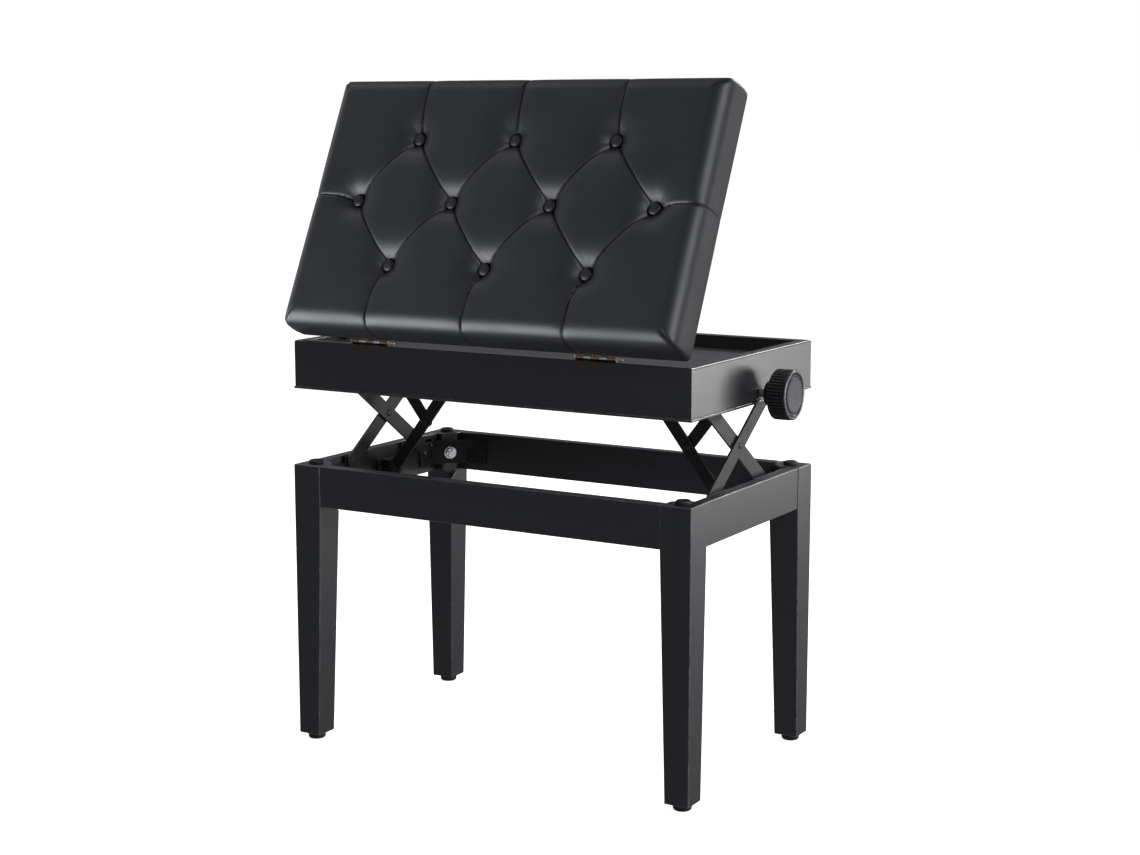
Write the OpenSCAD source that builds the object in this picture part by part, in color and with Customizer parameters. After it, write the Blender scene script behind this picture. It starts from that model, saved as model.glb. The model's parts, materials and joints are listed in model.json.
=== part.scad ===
// Height-adjustable piano bench: a legged base, a storage box on a screw-driven
// scissor lift, and a tufted seat lid hinged at the front edge of the box.
// Shown raised, with the lid open. Z is up, the front is at -Y, the knob at +X.

/* [Base frame] */
// Width over the legs
base_w = 560; // [520:5:620]
// Depth over the legs
base_d = 334; // [320:2:380]
// Height of the leg tops
leg_top_z = 358; // [350:1:370]
// Side of the square leg at its top
leg_w = 40; // [36:1:44]
// Side of the leg at the floor
leg_foot_w = 31.5; // [28:0.5:36]
// Height of the aprons
apron_h = 52; // [48:1:56]
// Thickness of the aprons
apron_t = 15; // [13:1:16]
// Height of the foot glides
glide_h = 8; // [5:1:10]
// Height of the rubber bumpers on the legs
bumper_h = 4.5; // [3:0.5:6]

/* [Storage box] */
// Width of the box
box_w = 555; // [520:5:600]
// Depth of the box
box_d = 328; // [320:2:340]
// Height of the box
box_h = 60.7; // [58:0.1:64]
// Thickness of the box panels
box_wall = 14; // [12:1:15]
// Gap from the leg tops to the box, raised
lift_gap = 96; // [92:1:97]
// Depth of the storage tray
tray_depth = 17.2; // [14:0.1:18]

/* [Lift] */
// Half of a long centre arm, pin to pin
centre_half = 82.7; // [82:0.1:84]
// Angle of the long centre arms, raised
centre_angle = 52.38; // [51:0.01:53]
// Distance of the centre arms' outer pivots from the middle
centre_x = 241.5; // [240:0.5:243]
// Width of a centre arm
centre_arm_w = 15.5; // [14:0.5:17]
// Angle of the end scissor arms, raised
scissor_angle = 35.5; // [34:0.1:37]
// Width of a scissor arm
scissor_arm_w = 20; // [16:1:20]
// Depth position of the lead screw
screw_y = 16; // [14:1:18]

/* [Knob] */
// Diameter of the knob
knob_d = 60; // [50:1:64]
// Thickness of the knob's grip
knob_t = 24; // [18:1:26]
// Number of grip ribs
knob_ribs = 46; // [24:2:60]

/* [Seat lid] */
// Width of the cushion
seat_w = 545; // [500:1:560]
// Depth of the cushion, which overhangs the closed box as a finger grip
seat_d = 329; // [310:1:335]
// Height of the cushion over the hinge line, closed
seat_h = 56; // [45:1:70]
// Angle of the open lid
lid_angle = 64.7; // [60:0.1:70]
// Spacing of the tufting buttons across the seat
button_dx = 137.6; // [120:0.1:140]
// Spacing of the button rows along the seat
button_dy = 82.4; // [70:0.1:90]

/* [Hidden] */
$fn = 48;
eps = 0.01;
fit = 0.05; // radial running clearance
leg_x = base_w / 2;
leg_y = base_d / 2;
apron_z = leg_top_z - apron_h;
reveal = 1; // the aprons and their seams lie this far behind the leg faces
apron_in_x = leg_x - reveal - apron_t;
apron_in_y = leg_y - reveal - apron_t;
chamfer = 14; // side of the leg's chamfered inner corner
chamfer_end_z = apron_z - 12;

// box
box_z = leg_top_z + lift_gap;
box_top = box_z + box_h;
box_x = box_w / 2;
box_y = box_d / 2;
box_in_x = box_x - box_wall;
box_in_y = box_y - box_wall;
tray_z = box_top - tray_depth;
tray_t = 5;
trim_h = 3;
trim_out = 1;
edge_r = 2.5;
travel = lift_gap - bumper_h - 0.3;

// centre linkage: a long arm with a half arm on its middle, so that the box
// rises in a straight line
arm_t = 3;
low_z = 331.5;
top_z = low_z + 2 * centre_half * sin(centre_angle);
mid_x = centre_x - centre_half * cos(centre_angle);
mid_z = low_z + centre_half * sin(centre_angle);
nut_x = centre_x - 2 * centre_half * cos(centre_angle);
centre_pin_r = 3;
long_y = -6.5;
half_y = -2.5;
hang_y = 1.5;

// end scissors: fixed pivots at the front, sliding studs at the rear
scissor_low_z = 350;
scissor_rise = 106;
scissor_half = scissor_rise / 2 / sin(scissor_angle);
scissor_y = scissor_half * cos(scissor_angle);
scissor_low_angle = asin((scissor_rise - travel) / 2 / scissor_half);
scissor_far_y = 2 * scissor_half * cos(scissor_low_angle) - scissor_y;
scissor_mid_z = scissor_low_z + scissor_rise / 2;
scissor_top_z = scissor_low_z + scissor_rise;
outer_x = 256.4;
inner_x = 252.6;
rail_x = 260;
stud_r = 2.5;

// screw and knob
screw_z = 466;
screw_r = 5;
knob_x = 298;
collar_r = 15;
collar_t = 10.6;
bearing_x = 176;
bearing_t = 12;

// lid, drawn closed about its hinge line and then opened
hinge_y = -155;
hinge_z = 517.3;
lid_z = 0.6;
board_t = 9;
board_w = seat_w - 8;
board_d = seat_d - 8;
seat_v = 2;
board_v = seat_v + 4;
top_r = 18;
low_r = 5;
cover_t = 1.5;
button_v = 168;
button_face = 41;
button_r = 7.5;
hinge_places = [-167, 150.5];
hinge_w = 53;
knuckle_r = 2.5;
hinge_pin_r = 1.25;
leaf_t = 1.2;
stay_drop = 5.5;
stay_len = 70;
stay_back = 1.083 * stay_len;
stay_x = -261.5;
stay_t = 2;
stay_ratio = 2.068;
stay_w = 9;
stay_pin_r = 2;
track_x = -258.6;
track_t = 1.6;

// the origin is under the middle of the whole outline
outline_front = hinge_y + (seat_v + top_r) * cos(lid_angle) - (seat_h - top_r) * sin(lid_angle) - top_r;
frame_x = (knob_x + knob_t - leg_x) / 2;
frame_y = (outline_front + leg_y) / 2;

module in_frame() {
    translate([-frame_x, -frame_y, 0]) children();
}

// both ends of the bench, from a part drawn for the right-hand end
module both_ends() {
    children();
    mirror([1, 0, 0]) children();
}

module at_corners() {
    for (sx = [0, 1], sy = [0, 1])
        mirror([sx, 0, 0]) mirror([0, sy, 0]) children();
}

// a part drawn closed, turned to the open lid
module opened() {
    translate([0, hinge_y, hinge_z]) rotate([lid_angle, 0, 0]) children();
}

module rod_x(r, x0, x1) {
    translate([x0, 0, 0]) rotate([0, 90, 0]) cylinder(r = r, h = x1 - x0);
}

module rod_y(r, y0, y1) {
    translate([0, y1, 0]) rotate([90, 0, 0]) cylinder(r = r, h = y1 - y0);
}

// a domed rivet or screw head at z = 0, its dome towards +Z
module dome(r, h) {
    ball = (r * r + h * h) / 2 / h;
    intersection() {
        translate([0, 0, h - ball]) sphere(r = ball);
        cylinder(r = r, h = h + eps);
    }
}

// a pan-head wood screw, its head standing on z = 0
module wood_screw(len = 12, head = 4, shank = 1.8) {
    difference() {
        dome(head, 2);
        for (a = [0, 90]) rotate(a) translate([-2.2, -0.5, 1]) cube([4.4, 1, 2]);
    }
    translate([0, 0, -len]) cylinder(r = shank, h = len);
}

// the cone of a countersunk head, its face at z = 0
module sink(head, shank) {
    translate([0, 0, shank - head]) cylinder(r1 = shank, r2 = head, h = head - shank);
}

// a countersunk wood screw, its head flush with z = 0
module flat_screw(len = 12, head = 3.3, shank = 1.8) {
    difference() {
        sink(head, shank);
        for (a = [0, 90]) rotate(a) translate([-2, -0.45, -0.8]) cube([4, 0.9, 2]);
    }
    translate([0, 0, -len]) cylinder(r = shank, h = len + shank - head);
}

// ---- base ----

// the leg in the corner of -X and -Y, its outer corner at the origin
module leg_blank() {
    taper = [[0, glide_h], [leg_foot_w, glide_h], [leg_w, apron_z], [leg_w, leg_top_z], [0, leg_top_z]];
    chamfer_d = chamfer / sqrt(2);
    difference() {
        intersection() {
            translate([0, leg_w, 0]) rotate([90, 0, 0]) linear_extrude(leg_w) polygon(taper);
            rotate([90, 0, 90]) linear_extrude(leg_w) polygon(taper);
        }
        // chamfer for the corner plate, running out to a point
        translate([leg_w, leg_w, 0]) rotate([90, 0, 225]) translate([0, 0, -25]) linear_extrude(50)
            polygon([[-5, leg_top_z + 1], [chamfer_d, leg_top_z + 1], [chamfer_d, apron_z],
                     [0, chamfer_end_z], [-5, chamfer_end_z - 6]]);
        // hole for the hanger bolt
        translate([leg_w, leg_w, low_z]) rotate([90, 0, 135]) cylinder(r = 4, h = 70, center = true);
        // pilot holes for the bumper screw and the glide's nail
        translate([leg_w / 2, leg_w / 2, leg_top_z - 14]) cylinder(r = 1.8, h = 20);
        translate([leg_foot_w / 2, leg_foot_w / 2, 0]) cylinder(r = 1.2, h = glide_h + 16);
    }
}

module leg(sx, sy) {
    color("#202123") in_frame() mirror([sx, 0, 0]) mirror([0, sy, 0])
        translate([-leg_x, -leg_y, 0]) leg_blank();
}

module front_left_leg() { leg(0, 0); }
module front_right_leg() { leg(1, 0); }
module rear_left_leg() { leg(0, 1); }
module rear_right_leg() { leg(1, 1); }

// distances of a corner plate's screws from the corner of the aprons
plate_bend = chamfer + 20;
plate_screws = [[plate_bend + 6.5, 9.3], [plate_bend + 6.5, -9.3], [plate_bend + 22, 0]];
plate_t = 2.5;

// the screws' places on the wing that lies on a long apron, at the corner of +X and +Y
module at_plate_screws() {
    for (p = plate_screws)
        translate([apron_in_x - p[0], apron_in_y - plate_t, low_z + p[1]]) rotate([90, 0, 0]) children();
    for (p = plate_screws)
        translate([apron_in_x - plate_t, apron_in_y - p[0], low_z + p[1]]) rotate([0, -90, 0]) children();
}

module screw_holes() {
    translate([0, 0, -13]) cylinder(r = 1.8, h = 26);
}

module sunk_holes() {
    translate([0, 0, -13]) cylinder(r = 1.8, h = 14);
    sink(3.35, 1.8);
    cylinder(r = 3.35, h = 1);
}

module at_bracket_screws() {
    for (sy = [-8, 14]) translate([apron_in_x - plate_t, sy, low_z]) rotate([0, -90, 0]) children();
}

// two screws hold the front plate of a lower rail, and three its rear plate
rail_screws = [[-58, 0], [-45, 0], [46, 0], [60, 0], [116, 2.8]];

module at_rail_screws() {
    for (p = rail_screws) translate([rail_x, p[0], scissor_low_z + p[1]]) rotate([0, -90, 0]) children();
}

module long_apron() {
    difference() {
        translate([-leg_x + leg_w, apron_in_y, apron_z]) cube([base_w - 2 * leg_w, apron_t, apron_h]);
        both_ends() at_plate_screws() screw_holes();
    }
}

module end_apron() {
    difference() {
        translate([apron_in_x, -leg_y + leg_w, apron_z]) cube([apron_t, base_d - 2 * leg_w, apron_h]);
        for (sy = [0, 1]) mirror([0, sy, 0]) at_plate_screws() screw_holes();
        at_bracket_screws() screw_holes();
        at_rail_screws() screw_holes();
    }
}

module front_apron() { color("#222325") in_frame() mirror([0, 1, 0]) long_apron(); }
module rear_apron() { color("#222325") in_frame() long_apron(); }
module left_apron() { color("#222325") in_frame() mirror([1, 0, 0]) end_apron(); }
module right_apron() { color("#222325") in_frame() end_apron(); }

// a pressed plate across the corner of +X and +Y, with a wing on each apron
module corner_plate() {
    gap = 1;
    wing = 31;
    b = plate_bend + gap;
    t = plate_t;
    s = t * tan(22.5);
    difference() {
        translate([apron_in_x, apron_in_y, low_z - 15.5]) linear_extrude(32)
            polygon([[-b - wing, 0], [-b, 0], [0, -b], [0, -b - wing],
                     [-t, -b - wing], [-t, -b - s], [-b - s, -t], [-b - wing, -t]]);
        at_plate_screws() screw_holes();
        corner_axis() cylinder(r = 4.2, h = 60, center = true);
    }
}

// the hanger bolt's axis, from the leg towards the middle of the bench
module corner_axis() {
    translate([leg_x - leg_w, leg_y - leg_w, low_z]) rotate([90, 0, -45]) children();
}

module corner_plates() { color("#2b2b2d") in_frame() at_corners() corner_plate(); }

plate_face = -chamfer / sqrt(2) + 1 / sqrt(2) + plate_t;

module hanger_bolts() {
    color("silver") in_frame() at_corners() corner_axis()
        translate([0, 0, plate_face - 27]) cylinder(r = 4 - fit, h = 39);
}

module corner_washers() {
    color("silver") in_frame() at_corners() corner_axis() translate([0, 0, plate_face]) difference() {
        cylinder(r = 8.5, h = 1.6);
        translate([0, 0, -1]) cylinder(r = 4.2, h = 4);
    }
}

module corner_nuts() {
    color("silver") in_frame() at_corners() corner_axis() translate([0, 0, plate_face + 1.6]) difference() {
        cylinder(r = 7.2, h = 6.5, $fn = 6);
        translate([0, 0, -1]) cylinder(r = 4, h = 9);
    }
}

module frame_screws() {
    color("#39393b") in_frame() {
        at_corners() at_plate_screws() wood_screw();
        both_ends() at_bracket_screws() wood_screw();
        both_ends() at_rail_screws() flat_screw(13);
        at_corners() translate([leg_x - leg_w / 2, leg_y - leg_w / 2, leg_top_z + bumper_h - 2.6])
            wood_screw(12, 4.2);
        at_corners() translate([leg_x - leg_foot_w / 2, leg_y - leg_foot_w / 2, 3])
            rotate([180, 0, 0]) wood_screw(18, 3.5, 1.2);
    }
}

module bumpers() {
    color("#18181a") in_frame() at_corners() translate([leg_x - leg_w / 2, leg_y - leg_w / 2, leg_top_z])
        rotate_extrude() polygon([[1.9, 0], [9.2, 0], [9.2, 2.6], [8.4, bumper_h - 0.5], [7.4, bumper_h],
                                  [5, bumper_h], [4.6, bumper_h - 2.6], [1.9, bumper_h - 2.6]]);
}

module foot_glides() {
    color("#18181a") in_frame() at_corners() translate([leg_x - leg_foot_w / 2, leg_y - leg_foot_w / 2, 0])
        rotate_extrude() polygon([[4, 0], [9.6, 0], [11, 1.6], [11.5, glide_h],
                                  [1.3, glide_h], [1.3, 3], [4, 3]]);
}

// a pressed angle: a wing on the end apron and an ear across it that holds the arm's pin
module lower_brackets() {
    ear_r = 9;
    color("#2b2b2d") in_frame() both_ends() difference() {
        union() {
            translate([apron_in_x - plate_t, -14, low_z - 9.5]) cube([plate_t, 36, 18.5]);
            translate([centre_x, half_y, low_z - ear_r]) cube([apron_in_x - centre_x, arm_t, 2 * ear_r]);
            translate([centre_x, 0, low_z]) rod_y(ear_r, half_y, half_y + arm_t);
        }
        translate([centre_x, 0, low_z]) rod_y(centre_pin_r + fit, -20, 20);
        at_bracket_screws() screw_holes();
    }
}

// steel plates that stand on bosses: the front one holds the scissor's fixed pivot,
// and the rear one has the slot for its sliding stud
module lower_rails() {
    strip_t = 1.3;
    boss_h = apron_in_x - rail_x - eps;
    color("#2b2b2d") in_frame() both_ends() difference() {
        union() {
            for (span = [[-scissor_y - 12, rail_screws[1][0] + 7],
                         [rail_screws[2][0] - 7, rail_screws[4][0] + 6]])
                translate([rail_x, span[0], scissor_low_z - 4.5]) cube([strip_t, span[1] - span[0], 11.3]);
            at_rail_screws() translate([0, 0, -boss_h]) cylinder(r = 4, h = boss_h);
        }
        translate([0, -scissor_y, scissor_low_z]) rod_x(stud_r, rail_x - 1, rail_x + 6);
        translate([rail_x - 1, scissor_y, scissor_low_z])
            slot_x(scissor_far_y - scissor_y, stud_r + 0.1, 6);
        at_rail_screws() sunk_holes();
        // corner cut away above the corner plate
        translate([rail_x - 1, rail_screws[4][0] - 4.5, scissor_low_z - 6]) cube([4, 12, 4.6]);
    }
}

// a slot through a plate that faces X, from the origin towards +Y
module slot_x(len, r, depth) {
    rod_x(r, 0, depth);
    translate([0, len, 0]) rod_x(r, 0, depth);
    translate([0, 0, -r]) cube([depth, len, 2 * r]);
}

module base_pivot_pins() {
    color("#39393b") in_frame() both_ends() {
        // centre arm's pin, headed over the arm and behind the ear
        translate([centre_x, 0, low_z]) {
            rod_y(centre_pin_r, long_y - 0.4, half_y + arm_t + 0.4);
            translate([0, long_y - 0.4, 0]) rotate([90, 0, 0]) dome(5, 2);
            translate([0, half_y + arm_t + 0.4, 0]) rotate([-90, 0, 0]) dome(5, 1.6);
        }
        // front pin of the scissor, riveted into the rail
        translate([0, -scissor_y, scissor_low_z]) {
            rod_x(stud_r, outer_x - 0.3, rail_x + 1.3);
            translate([outer_x - 0.3, 0, 0]) rotate([0, -90, 0]) dome(4, 0.4);
            rod_x(4, rail_x + 1.3, rail_x + 2.8);
        }
    }
}

// ---- box ----

// section of a panel: outer face at x = 0, wall to +X, its top edges rounded
module panel_section() {
    n = 6;
    polygon(concat(
        [[0, box_z + trim_h]],
        [for (i = [0 : n]) let (a = 180 - 90 * i / n)
            [edge_r + edge_r * cos(a), box_top - edge_r + edge_r * sin(a)]],
        [for (i = [0 : n]) let (a = 90 - 90 * i / n)
            [box_wall - 1 + cos(a), box_top - 1 + sin(a)]],
        [[box_wall, box_z + trim_h]]));
}

// a mitred panel whose outer face lies on y = -half_d
module mitred_panel(half_w, half_d) {
    difference() {
        translate([-half_w, -half_d, 0]) rotate([90, 0, 90]) linear_extrude(2 * half_w) panel_section();
        for (sx = [-1, 1]) translate([sx * half_w, -half_d, box_z]) rotate(sx * 45)
            translate([sx * 20, 0, box_h / 2 - 1]) cube([40, 80, box_h + 10], center = true);
    }
}

module front_panel() {
    color("#232426") in_frame() difference() {
        mitred_panel(box_x, box_y);
        at_hinges() at_leaf_screws() cylinder(r = 1.2, h = 30, center = true);
    }
}

module rear_panel() { color("#232426") in_frame() rotate(180) mitred_panel(box_x, box_y); }

module right_panel() {
    color("#6e6e70") in_frame() difference() {
        rotate(90) mitred_panel(box_y, box_x);
        translate([0, screw_y, screw_z]) rod_x(8, 250, 290);
        at_upper_rail_screws() screw_holes();
    }
}

module left_panel() {
    color("#232426") in_frame() difference() {
        rotate(-90) mitred_panel(box_y, box_x);
        mirror([1, 0, 0]) at_upper_rail_screws() screw_holes();
        translate([-box_in_x, hinge_y + stay_back, hinge_z - stay_drop]) rod_x(2, -8, 1);
    }
}

module tray() {
    color("#2a2a2c") in_frame() difference() {
        translate([-box_in_x, -box_in_y, tray_z - tray_t]) cube([2 * box_in_x, 2 * box_in_y, tray_t]);
        both_ends() at_hanger_screws() cylinder(r = 1.6, h = 20, center = true);
        at_bearing_screws() cylinder(r = 1.6, h = 20, center = true);
    }
}

// a thin moulding under the panels, in four mitred strips
module bottom_trim() {
    strip_w = box_wall + trim_out;
    color("#1c1d1f") in_frame() for (a = [0 : 90 : 270]) {
        half_w = (a % 180 == 0 ? box_x : box_y) + trim_out;
        half_d = (a % 180 == 0 ? box_y : box_x) + trim_out;
        rotate(a) translate([0, -half_d, box_z]) linear_extrude(trim_h)
            polygon([[-half_w, 0], [half_w, 0], [half_w - strip_w, strip_w], [-half_w + strip_w, strip_w]]);
    }
}

module at_hanger_screws() {
    for (dx = [-5, 5]) translate([centre_x + dx, 17, tray_z - tray_t - 2]) rotate([180, 0, 0]) children();
}

module at_bearing_screws() {
    for (dy = [-17, 17])
        translate([bearing_t / 2 - bearing_x, screw_y + dy, tray_z - tray_t - 5])
            rotate([180, 0, 0]) children();
}

module at_upper_rail_screws() {
    for (y = [-92, -56, 60, 118]) translate([rail_x, y, scissor_top_z + 7]) rotate([0, -90, 0]) children();
}

// a hanger under the tray for the half arm's upper pin
module upper_brackets() {
    flange_t = 2;
    z1 = tray_z - tray_t;
    color("#2b2b2d") in_frame() both_ends() difference() {
        union() {
            translate([centre_x - 9, hang_y, top_z]) cube([18, arm_t, z1 - top_z]);
            translate([centre_x - 9, hang_y, z1 - flange_t]) cube([18, 22, flange_t]);
            translate([centre_x, 0, top_z]) rod_y(9, hang_y, hang_y + arm_t);
        }
        translate([centre_x, 0, top_z]) rod_y(centre_pin_r + fit, -20, 20);
        at_hanger_screws() cylinder(r = 1.8, h = 20, center = true);
    }
}

// running plates on the box's sides: the scissor's studs bear on their notches from below
module upper_rails() {
    plate_x = box_in_x - rail_x;
    z0 = box_z + 0.3;
    bear = scissor_top_z + stud_r + 0.1;
    color("#2b2b2d") in_frame() both_ends() difference() {
        union() {
            translate([rail_x, -scissor_y - 24, z0]) cube([plate_x, 48, 14]);
            translate([rail_x, scissor_y - 20, z0]) cube([plate_x, scissor_far_y - scissor_y + 38, 14]);
        }
        translate([rail_x - 1, -scissor_y - stud_r - 0.1, z0 - 1])
            cube([plate_x + 2, 2 * stud_r + 0.2, bear - z0 + 1]);
        translate([rail_x - 1, scissor_y - stud_r - 0.3, z0 - 1])
            cube([plate_x + 2, scissor_far_y - scissor_y + 2 * stud_r + 0.6, bear - z0 + 1]);
        at_upper_rail_screws() sunk_holes();
    }
}

module box_screws() {
    color("#39393b") in_frame() {
        both_ends() at_upper_rail_screws() flat_screw(11);
        both_ends() at_hanger_screws() wood_screw(6, 3.2, 1.6);
        at_bearing_screws() wood_screw(9, 3.2, 1.6);
        at_hinges() at_leaf_screws() wood_screw(9, 2.4, 1.2);
    }
}

module box_pivot_pins() {
    color("#39393b") in_frame() both_ends() translate([centre_x, 0, top_z]) {
        rod_y(centre_pin_r, half_y - 0.4, hang_y + arm_t + 0.4);
        translate([0, half_y - 0.4, 0]) rotate([90, 0, 0]) dome(5, 2);
        translate([0, hang_y + arm_t + 0.4, 0]) rotate([-90, 0, 0]) dome(5, 1.6);
    }
}

// a flanged bush in the right panel
module screw_bush() {
    color("#2e2e30") in_frame() translate([0, screw_y, screw_z]) difference() {
        union() {
            rod_x(8 - fit, box_in_x, box_x + 0.6);
            rod_x(11, box_in_x - 2, box_in_x);
        }
        rod_x(screw_r + fit, box_in_x - 5, box_x + 5);
    }
}

// a block under the tray that carries the screw's far end
module end_bearing() {
    color("#2e2e30") in_frame() difference() {
        union() {
            translate([-bearing_x, screw_y - 24, tray_z - tray_t - 5]) cube([bearing_t, 48, 5]);
            translate([-bearing_x, screw_y - 10, screw_z - 10])
                cube([bearing_t, 20, tray_z - tray_t - screw_z + 10]);
        }
        translate([0, screw_y, screw_z]) rod_x(screw_r + fit, -bearing_x - 4, bearing_t - bearing_x + 4);
        at_bearing_screws() cylinder(r = 1.8, h = 20, center = true);
    }
}

// ---- hinges ----

module at_hinges() {
    for (x = hinge_places) translate([x, 0, 0]) children();
}

// screws of a box leaf, on the inner face of the front panel
module at_leaf_screws() {
    for (dx = [-17, 0, 17]) translate([dx, -box_in_y + leaf_t, box_top - 8]) rotate([-90, 0, 0]) children();
}

// screws of a lid leaf, on the underside of the closed lid
module at_lid_leaf_screws() {
    for (dx = [-17, 0, 17]) translate([dx, 14, lid_z - leaf_t]) rotate([180, 0, 0]) children();
}

knuckle_w = hinge_w / 5;

// knuckles numbered from 0 at the left, about the origin
module knuckles(list) {
    gap = 0.25;
    for (i = list) translate([i * knuckle_w - hinge_w / 2, 0, 0]) rod_x(knuckle_r, gap, knuckle_w - gap);
}

module hinge_box_leaves() {
    color("#b59a66") in_frame() at_hinges() difference() {
        union() {
            translate([0, hinge_y, hinge_z]) knuckles([0, 2, 4]);
            for (i = [0, 2, 4]) translate([-hinge_w / 2 + i * knuckle_w + 0.25, hinge_y, box_top])
                cube([knuckle_w - 0.5, leaf_t, hinge_z - box_top]);
            translate([-hinge_w / 2, hinge_y, box_top])
                cube([hinge_w, -box_in_y + leaf_t - hinge_y, leaf_t]);
            translate([-hinge_w / 2, -box_in_y, box_top - 13]) cube([hinge_w, leaf_t, 13 + leaf_t]);
        }
        translate([0, hinge_y, hinge_z]) rod_x(hinge_pin_r + fit, -40, 40);
        at_leaf_screws() cylinder(r = 1.3, h = 8, center = true);
        // room for the lid leaf's knuckles
        for (i = [1, 3]) translate([-hinge_w / 2 + i * knuckle_w - 0.1, hinge_y, hinge_z])
            rod_x(knuckle_r + 0.3, 0, knuckle_w + 0.2);
    }
}

module hinge_lid_leaves() {
    color("#b59a66") in_frame() opened() at_hinges() difference() {
        union() {
            knuckles([1, 3]);
            for (i = [1, 3]) translate([-hinge_w / 2 + i * knuckle_w + 0.25, 0, lid_z - leaf_t])
                cube([knuckle_w - 0.5, 6, leaf_t]);
            translate([-hinge_w / 2, 4, lid_z - leaf_t]) cube([hinge_w, 17, leaf_t]);
        }
        rod_x(hinge_pin_r + fit, -40, 40);
        at_lid_leaf_screws() cylinder(r = 1.3, h = 8, center = true);
    }
}

module hinge_pins() {
    tail = 9;
    color("#c9c4b8") in_frame() opened() at_hinges() {
        rod_x(hinge_pin_r, -hinge_w / 2 - 1, hinge_w / 2 + tail);
        rod_x(knuckle_r - 0.6, -hinge_w / 2 - 2.2, -hinge_w / 2 - 1);
    }
}

// ---- lid ----

module lid_board() {
    color("#2a2a2c") in_frame() opened() difference() {
        translate([-board_w / 2, board_v, lid_z]) cube([board_w, board_d, board_t]);
        at_hinges() at_lid_leaf_screws() translate([0, 0, -9]) cylinder(r = 1.2, h = 9);
    }
}

module at_buttons() {
    for (row = [-1 : 1]) {
        n = row == 0 ? 4 : 3;
        for (i = [0 : n - 1])
            translate([(i - (n - 1) / 2) * button_dx, button_v + row * button_dy, 0]) children();
    }
}

// r in from the sides at a corner of the seat; sx is the side, v is 0 at the hinge and 1 at the far end
module at_seat_corner(sx, v, r) {
    translate([sx * (seat_w / 2 - r), seat_v + r + v * (seat_d - 2 * r), 0]) children();
}

// rounded outer shape of the cushion, or the same shape i smaller all round
module cushion_shape(i = 0) {
    hull() {
        for (sx = [-1, 1], v = [0, 1]) {
            at_seat_corner(sx, v, top_r) translate([0, 0, seat_h - top_r]) sphere(r = top_r - i, $fn = 32);
            at_seat_corner(sx, v, low_r) translate([0, 0, lid_z + low_r]) sphere(r = low_r - i, $fn = 16);
        }
    }
}

module above_board(gap) {
    translate([-seat_w / 2, 0, lid_z + board_t + gap]) cube([seat_w, seat_d + 2 * seat_v, seat_h]);
}

module button_pockets() {
    at_buttons() translate([0, 0, button_face - 11]) cylinder(r = button_r + 2, h = 60);
}

// leather cover, wrapped round the board's edges and open where the buttons pull it in
module cushion() {
    color("#242527") in_frame() opened() difference() {
        cushion_shape();
        intersection() {
            cushion_shape(cover_t);
            above_board(0);
        }
        translate([-board_w / 2, board_v, -5]) cube([board_w, board_d, lid_z + board_t + 5 + eps]);
        button_pockets();
    }
}

module foam_pad() {
    color("#d8c987") in_frame() opened() difference() {
        intersection() {
            cushion_shape(cover_t + 0.2);
            above_board(0.1);
        }
        button_pockets();
    }
}

module buttons() {
    color("#1d1e20") in_frame() opened() at_buttons() translate([0, 0, button_face - 5]) {
        dome(button_r, 4.5);
        translate([0, 0, -3]) cylinder(r = button_r, h = 3);
        translate([0, 0, -6]) cylinder(r = 2, h = 4);
    }
}

module lid_screws() {
    color("#c9c4b8") in_frame() opened() at_hinges() at_lid_leaf_screws() wood_screw(7, 2.4, 1.2);
}

module lid_pads() {
    z0 = box_top - hinge_z + 0.2;
    color("#18181a") in_frame() opened() for (sx = [-1, 1])
        translate([sx * 230, (box_d - box_wall) / 2 - hinge_y, z0]) cylinder(r = 5, h = lid_z - z0);
}

// ---- lid stay ----

stay_open = lid_angle * stay_ratio;

module stay_stud() {
    color("#39393b") in_frame() translate([-box_in_x, hinge_y + stay_back, hinge_z - stay_drop]) {
        rod_x(2, -8, 4.3);
        rod_x(3.6, 0, 1.9);
        rod_x(3.6, 4.2, 4.8);
    }
}

module stay_arm() {
    color("#39393b") in_frame()
        translate([stay_x, hinge_y + stay_back, hinge_z - stay_drop])
        rotate([stay_open, 0, 0]) difference() {
            union() {
                rod_x(stay_w / 2, 0, stay_t);
                translate([0, stay_len, 0]) rod_x(stay_w / 2, 0, stay_t);
                translate([0, 0, -stay_w / 2]) cube([stay_t, stay_len, stay_w]);
                translate([0, stay_len, 0]) rod_x(stay_pin_r, 0, track_x - stay_x + track_t + 0.6);
            }
            rod_x(2 + fit, -1, stay_t + 1);
        }
}

// a slotted angle under the lid; the stay's pin reaches the slot's front end as the lid stops
module stay_track() {
    s0 = 52;
    s1 = stay_back + stay_len;
    h = 10.2;
    color("#39393b") in_frame() opened() difference() {
        union() {
            translate([track_x, s0 - 7, lid_z - h - leaf_t]) cube([track_t, s1 - s0 + 14, h + leaf_t]);
            translate([track_x, s0 - 7, lid_z - leaf_t]) cube([14, s1 - s0 + 14, leaf_t]);
        }
        translate([track_x - 1, s0, -stay_drop]) slot_x(s1 - s0, stay_pin_r + 0.45, track_t + 2);
    }
}

// ---- lift ----

// a flat bar from the origin to (len, 0), width w, thickness along Y from y0
module bar_xz(len, w, y0) {
    rod_y(w / 2, y0, y0 + arm_t);
    translate([len, 0, 0]) rod_y(w / 2, y0, y0 + arm_t);
    translate([0, y0, -w / 2]) cube([len, arm_t, w]);
}

module long_arm() {
    w = centre_arm_w;
    translate([-centre_x, 0, low_z]) rotate([0, -centre_angle, 0]) difference() {
        bar_xz(2 * centre_half, w, long_y);
        rod_y(centre_pin_r + fit, -20, 20);
        translate([centre_half, 0, 0]) rod_y(centre_pin_r, -20, 20);
        translate([2 * centre_half, 0, 0]) rod_y(4 + fit, -20, 20);
    }
}

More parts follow.
